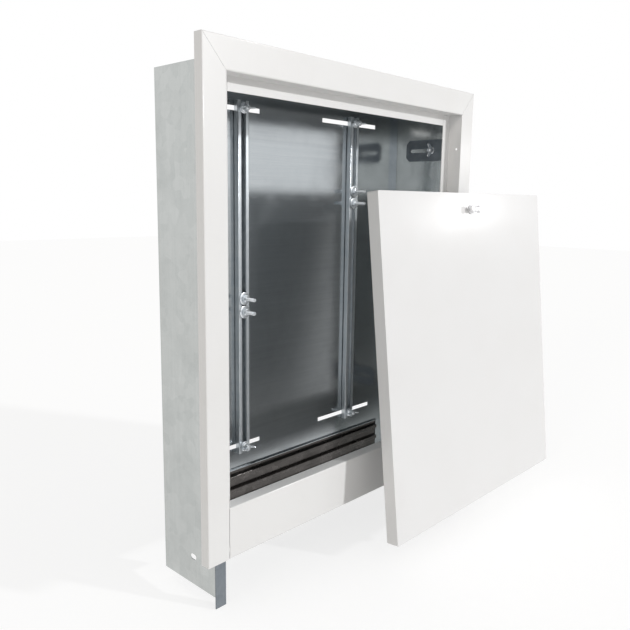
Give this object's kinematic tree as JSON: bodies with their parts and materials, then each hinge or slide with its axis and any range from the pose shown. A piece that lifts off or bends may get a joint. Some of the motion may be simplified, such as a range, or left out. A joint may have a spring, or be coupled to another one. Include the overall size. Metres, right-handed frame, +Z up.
{
  "type": "standpipe cabinet",
  "caption": "Recessed steel service cabinet with a slide-out front frame, mounting rails on a slotted back, adjustable feet and a lift-out door with a wing-knob lock.",
  "frame": {"origin": "on the back panel's rear face, midway between the two slot rows and the side panels", "axes": "+X to the right, +Y through the back panel into the wall, +Z up; the front looks along -Y"},
  "size_m": [0.8302, 0.2327, 0.7545],
  "materials": {
    "galvanised": "galvanised sheet, satin",
    "zinc": "bright zinc plate",
    "white": "white powder coat, semi-gloss",
    "nickel": "nickel plate"
  },
  "bodies": {
    "cabinet": {"side_panel_left": "galvanised", "side_panel_right": "galvanised", "back_panel": "galvanised", "top_panel": "galvanised", "pipe_guide": "galvanised", "guide_rivet_left": "zinc", "guide_rivet_right": "zinc", "foot_bolt_left": "zinc", "foot_bolt_right": "zinc", "foot_nut_left": "zinc", "foot_nut_right": "zinc", "lug_stud_upper_left": "zinc", "lug_stud_upper_right": "zinc", "lug_stud_lower_left": "zinc", "lug_stud_lower_right": "zinc"},
    "foot_left": {"foot_strip_left": "galvanised"},
    "foot_right": {"foot_strip_right": "galvanised"},
    "frame": {"frame_stile_left": "white", "frame_stile_right": "white", "frame_top_rail": "white", "frame_apron": "white", "frame_lug_upper_left": "galvanised", "frame_lug_upper_right": "galvanised", "frame_lug_lower_left": "galvanised", "frame_lug_lower_right": "galvanised"},
    "lug_wing_nut_upper_left": {"lug_wing_nut_upper_left": "zinc"},
    "lug_wing_nut_upper_right": {"lug_wing_nut_upper_right": "zinc"},
    "lug_wing_nut_lower_left": {"lug_wing_nut_lower_left": "zinc"},
    "lug_wing_nut_lower_right": {"lug_wing_nut_lower_right": "zinc"},
    "rail_left": {"rail_left": "zinc", "rail_bolt_upper_left": "zinc", "rail_washer_upper_left": "zinc", "rail_bolt_lower_left": "zinc", "rail_washer_lower_left": "zinc"},
    "rail_wing_nut_upper_left": {"rail_wing_nut_upper_left": "zinc"},
    "rail_wing_nut_lower_left": {"rail_wing_nut_lower_left": "zinc"},
    "rail_right": {"rail_right": "zinc", "rail_bolt_upper_right": "zinc", "rail_washer_upper_right": "zinc", "rail_bolt_lower_right": "zinc", "rail_washer_lower_right": "zinc"},
    "rail_wing_nut_upper_right": {"rail_wing_nut_upper_right": "zinc"},
    "rail_wing_nut_lower_right": {"rail_wing_nut_lower_right": "zinc"},
    "clamp_lower_left": {"clamp_bolt_lower_left": "zinc", "clamp_washer_lower_left": "zinc", "clamp_nut_lower_left": "zinc"},
    "clamp_upper_left": {"clamp_bolt_upper_left": "zinc", "clamp_washer_upper_left": "zinc", "clamp_nut_upper_left": "zinc"},
    "clamp_lower_right": {"clamp_bolt_lower_right": "zinc", "clamp_washer_lower_right": "zinc", "clamp_nut_lower_right": "zinc"},
    "clamp_upper_right": {"clamp_bolt_upper_right": "zinc", "clamp_washer_upper_right": "zinc", "clamp_nut_upper_right": "zinc"},
    "door": {"door_panel": "white", "lock_housing": "nickel", "lock_nut": "zinc"},
    "lock_turn": {"lock_knob": "nickel", "lock_cam": "zinc"}
  },
  "joints": [
    {"name": "foot_left_slide", "type": "slide", "parent": "cabinet", "child": "foot_left", "axis": [0, 0, 1], "range_m": [-0.05, 0.015]},
    {"name": "foot_right_slide", "type": "slide", "parent": "cabinet", "child": "foot_right", "axis": [0, 0, 1], "range_m": [-0.05, 0.015]},
    {"name": "frame_slide", "type": "slide", "parent": "cabinet", "child": "frame", "axis": [0, -1, 0], "range_m": [0, 0.045]},
    {"name": "lug_wing_nut_upper_left_turn", "type": "hinge", "parent": "cabinet", "child": "lug_wing_nut_upper_left", "pos_m": [-0.2627, -0.0888, 0.22225], "axis": [1, 0, 0], "continuous": true},
    {"name": "lug_wing_nut_upper_right_turn", "type": "hinge", "parent": "cabinet", "child": "lug_wing_nut_upper_right", "pos_m": [0.2627, -0.0888, 0.22225], "axis": [-1, 0, 0], "continuous": true},
    {"name": "lug_wing_nut_lower_left_turn", "type": "hinge", "parent": "cabinet", "child": "lug_wing_nut_lower_left", "pos_m": [-0.2627, -0.0888, -0.22675], "axis": [1, 0, 0], "continuous": true},
    {"name": "lug_wing_nut_lower_right_turn", "type": "hinge", "parent": "cabinet", "child": "lug_wing_nut_lower_right", "pos_m": [0.2627, -0.0888, -0.22675], "axis": [-1, 0, 0], "continuous": true},
    {"name": "rail_left_slide", "type": "slide", "parent": "cabinet", "child": "rail_left", "axis": [1, 0, 0], "range_m": [-0.0985, 0.0375]},
    {"name": "rail_wing_nut_upper_left_turn", "type": "hinge", "parent": "rail_left", "child": "rail_wing_nut_upper_left", "pos_m": [-0.119, -0.0126, 0.26325], "axis": [0, -1, 0], "continuous": true},
    {"name": "rail_wing_nut_lower_left_turn", "type": "hinge", "parent": "rail_left", "child": "rail_wing_nut_lower_left", "pos_m": [-0.119, -0.0126, -0.26325], "axis": [0, -1, 0], "continuous": true},
    {"name": "rail_right_slide", "type": "slide", "parent": "cabinet", "child": "rail_right", "axis": [1, 0, 0], "range_m": [-0.0715, 0.0645]},
    {"name": "rail_wing_nut_upper_right_turn", "type": "hinge", "parent": "rail_right", "child": "rail_wing_nut_upper_right", "pos_m": [0.139, -0.0126, 0.26325], "axis": [0, -1, 0], "continuous": true},
    {"name": "rail_wing_nut_lower_right_turn", "type": "hinge", "parent": "rail_right", "child": "rail_wing_nut_lower_right", "pos_m": [0.139, -0.0126, -0.26325], "axis": [0, -1, 0], "continuous": true},
    {"name": "clamp_lower_left_slide", "type": "slide", "parent": "rail_left", "child": "clamp_lower_left", "axis": [0, 0, 1], "range_m": [-0.201, 0]},
    {"name": "clamp_upper_left_slide", "type": "slide", "parent": "rail_left", "child": "clamp_upper_left", "axis": [0, 0, 1], "range_m": [0, 0.2675]},
    {"name": "clamp_lower_right_slide", "type": "slide", "parent": "rail_right", "child": "clamp_lower_right", "axis": [0, 0, 1], "range_m": [-0.37, 0]},
    {"name": "clamp_upper_right_slide", "type": "slide", "parent": "rail_right", "child": "clamp_upper_right", "axis": [0, 0, 1], "range_m": [0, 0.0985]},
    {"name": "door_lift_off", "type": "slide", "parent": "frame", "child": "door", "axis": [0, -1, 0], "range_m": [0, 0.4]},
    {"name": "lock_quarter_turn", "type": "hinge", "parent": "door", "child": "lock_turn", "pos_m": [0.268, -0.17304, 0.11713], "axis": [0, -0.994, 0.109], "range_deg": [0, 90]}
  ]
}
